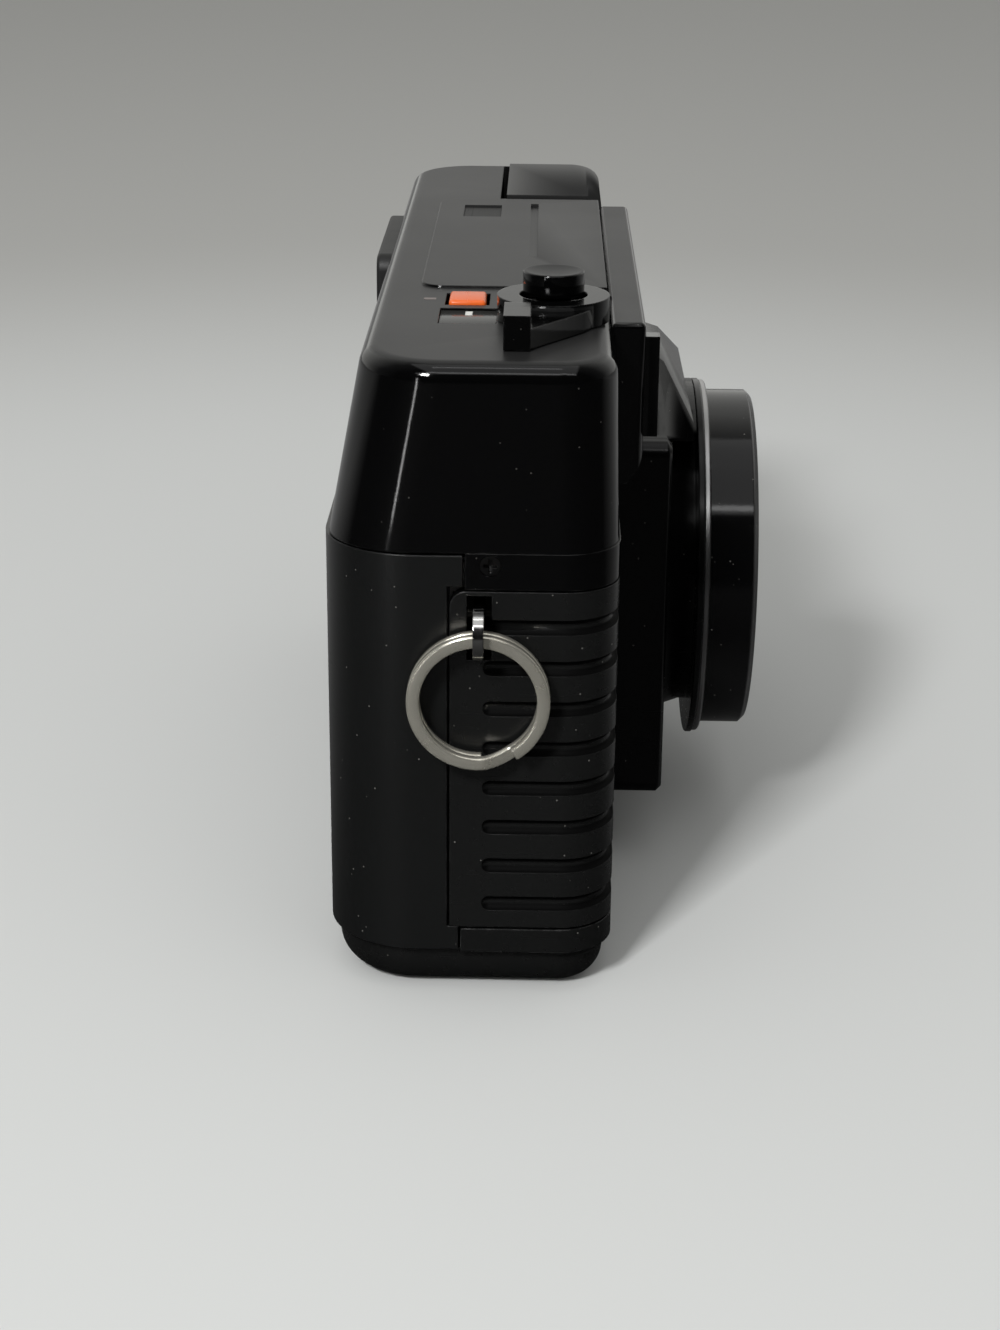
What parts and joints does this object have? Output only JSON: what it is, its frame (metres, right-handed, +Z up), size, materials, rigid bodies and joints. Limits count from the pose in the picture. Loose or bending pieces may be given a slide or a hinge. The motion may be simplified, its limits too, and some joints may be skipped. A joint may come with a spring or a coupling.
{
  "type": "compact film camera",
  "caption": "Compact 35 mm film camera with a hinged back, pop-up flash, autofocus lens, shutter lever, motor drive, battery lid, strap ring and tripod socket.",
  "frame": {"origin": "mouth of the tripod socket, on the base, under the lens axis", "axes": "+X the way the lens looks, +Y from the end with the shutter button to the far end, +Z up"},
  "size_m": [0.0526, 0.1365, 0.082],
  "materials": {
    "top_satin": "satin",
    "shell_black": "satin",
    "gloss_black": "gloss",
    "inner_black": "matt",
    "nickel": "bright",
    "steel": "satin",
    "brass": "satin",
    "smoked_window": "gloss",
    "counter_grey": "gloss",
    "clear": "polished",
    "white_plastic": "matt",
    "orange": "satin",
    "silver_trim": "satin",
    "reflector": "bright",
    "board_green": "matt",
    "cell_wrap": "satin",
    "capacitor_sleeve": "satin"
  },
  "bodies": {
    "camera_body": {"main_chassis": "inner_black", "bottom_cover": "shell_black", "front_cover": "shell_black", "grip_cover": "shell_black", "strap_lug": "nickel", "top_cover": "top_satin", "counter_window": "counter_grey", "indicator_window": "smoked_window", "finder_housing": "shell_black", "front_windows": "smoked_window", "focus_sensors": "inner_black", "finder_tunnel": "inner_black", "finder_objective": "clear", "eyepiece_frame": "shell_black", "eyepiece_lens": "clear", "lens_base": "shell_black", "lens_barrel": "shell_black", "trim_ring": "silver_trim", "front_ring": "gloss_black", "lens_guide": "inner_black", "shutter_plate": "inner_black", "top_bracket": "steel", "circuit_board": "board_green", "capacitor": "capacitor_sleeve", "drive_motor": "steel", "battery_cells": "cell_wrap", "battery_contacts": "nickel", "tripod_socket": "steel", "case_screws": "steel", "battery_lid_pin": "steel", "door_hinge_pin": "steel", "shutter_spring": "steel", "flash_spring": "steel"},
    "door": {"back_door": "shell_black", "pressure_plate": "steel", "pressure_springs": "steel"},
    "lid": {"battery_lid": "shell_black", "lid_contact": "nickel"},
    "strap_ring": {"split_ring": "nickel"},
    "release": {"shutter_button": "shell_black"},
    "small_button": {"push_button": "orange"},
    "lever": {"lever_ring": "top_satin"},
    "flash": {"flash_case": "top_satin", "flash_window": "clear", "flash_reflector": "reflector", "flash_tube": "clear"},
    "focus": {"focus_mount": "inner_black", "front_glass": "clear", "rear_glass": "clear"},
    "blade_near": {"shutter_blade_near": "inner_black"},
    "blade_far": {"shutter_blade_far": "inner_black"},
    "latch": {"door_latch": "shell_black"},
    "dial": {"counter_dial": "white_plastic"},
    "spool": {"take_up_spool": "inner_black"},
    "pinion": {"motor_pinion": "brass"},
    "transfer": {"transfer_gear": "white_plastic"},
    "sprocket": {"film_sprocket": "inner_black"},
    "fork": {"rewind_fork": "white_plastic"},
    "gear_1": {"rewind_gear_1": "white_plastic"},
    "gear_2": {"rewind_gear_2": "white_plastic"}
  },
  "joints": [
    {"name": "door_hinge", "type": "hinge", "parent": "camera_body", "child": "door", "pos_m": [0.004, 0.068, 0.03], "axis": [0, 0, -1], "range_deg": [0, 95]},
    {"name": "battery_lid_hinge", "type": "hinge", "parent": "camera_body", "child": "lid", "pos_m": [0.00485, -0.0418, 0.0012], "axis": [1, 0, 0], "range_deg": [0, 90]},
    {"name": "ring_swing", "type": "hinge", "parent": "camera_body", "child": "strap_ring", "pos_m": [0.0059, -0.064, 0.0455], "axis": [-1, 0, 0], "range_deg": [0, 80]},
    {"name": "shutter_press", "type": "slide", "parent": "camera_body", "child": "release", "axis": [0, 0, -1], "range_m": [0, 0.0012], "stiffness_N_per_m": 900, "deforming": ["shutter_spring"]},
    {"name": "push_press", "type": "slide", "parent": "camera_body", "child": "small_button", "axis": [0, 0, -1], "range_m": [0, 0.0008], "stiffness_N_per_m": 700},
    {"name": "lever_turn", "type": "hinge", "parent": "camera_body", "child": "lever", "pos_m": [0.0137, -0.04, 0.078], "axis": [0, 0, -1], "range_deg": [0, 30]},
    {"name": "flash_rise", "type": "slide", "parent": "camera_body", "child": "flash", "axis": [0, 0, 1], "range_m": [0, 0.013], "deforming": ["flash_spring"]},
    {"name": "focus_slide", "type": "slide", "parent": "camera_body", "child": "focus", "axis": [1, 0, 0], "range_m": [0, 0.0012]},
    {"name": "blade_near_swing", "type": "hinge", "parent": "camera_body", "child": "blade_near", "pos_m": [0.014, -0.0125, 0.0345], "axis": [1, 0, 0], "range_deg": [0, 38]},
    {"name": "blade_far_swing", "type": "hinge", "parent": "camera_body", "child": "blade_far", "pos_m": [0.014, 0.0125, 0.0345], "axis": [1, 0, 0], "range_deg": [-38, 0]},
    {"name": "latch_slide", "type": "slide", "parent": "camera_body", "child": "latch", "axis": [0, 1, 0], "range_m": [0, 0.003]},
    {"name": "dial_turn", "type": "hinge", "parent": "camera_body", "child": "dial", "pos_m": [0.004, -0.0305, 0.07], "axis": [0, 0, 1], "range_deg": [0, 330]},
    {"name": "spool_spin", "type": "hinge", "parent": "camera_body", "child": "spool", "pos_m": [0.0012, -0.032, 0.03], "axis": [0, 0, 1], "continuous": true},
    {"name": "pinion_spin", "type": "hinge", "parent": "camera_body", "child": "pinion", "pos_m": [0.0012, -0.032, 0.008], "axis": [0, 0, 1], "continuous": true},
    {"name": "transfer_spin", "type": "hinge", "parent": "camera_body", "child": "transfer", "pos_m": [0.0098, -0.0251, 0.005], "axis": [0, 0, 1], "continuous": true},
    {"name": "sprocket_spin", "type": "hinge", "parent": "camera_body", "child": "sprocket", "pos_m": [-0.0031, -0.0194, 0.015], "axis": [0, 0, 1], "continuous": true},
    {"name": "fork_spin", "type": "hinge", "parent": "camera_body", "child": "fork", "pos_m": [0.003, 0.041, 0.008], "axis": [0, 0, 1], "continuous": true},
    {"name": "gear_1_spin", "type": "hinge", "parent": "camera_body", "child": "gear_1", "pos_m": [0.012, 0.0291, 0.006], "axis": [0, 0, 1], "continuous": true},
    {"name": "gear_2_spin", "type": "hinge", "parent": "camera_body", "child": "gear_2", "pos_m": [0.012, 0.0156, 0.006], "axis": [0, 0, 1], "continuous": true}
  ],
  "couplings": [
    {"joint": "blade_far_swing", "follows": "blade_near_swing", "ratio": -1},
    {"joint": "transfer_spin", "follows": "spool_spin", "ratio": -3.25},
    {"joint": "pinion_spin", "follows": "spool_spin", "ratio": 5.9583},
    {"joint": "sprocket_spin", "follows": "spool_spin", "ratio": 2.4138},
    {"joint": "gear_1_spin", "follows": "fork_spin", "ratio": -1.1905},
    {"joint": "gear_2_spin", "follows": "fork_spin", "ratio": 1.1905}
  ]
}
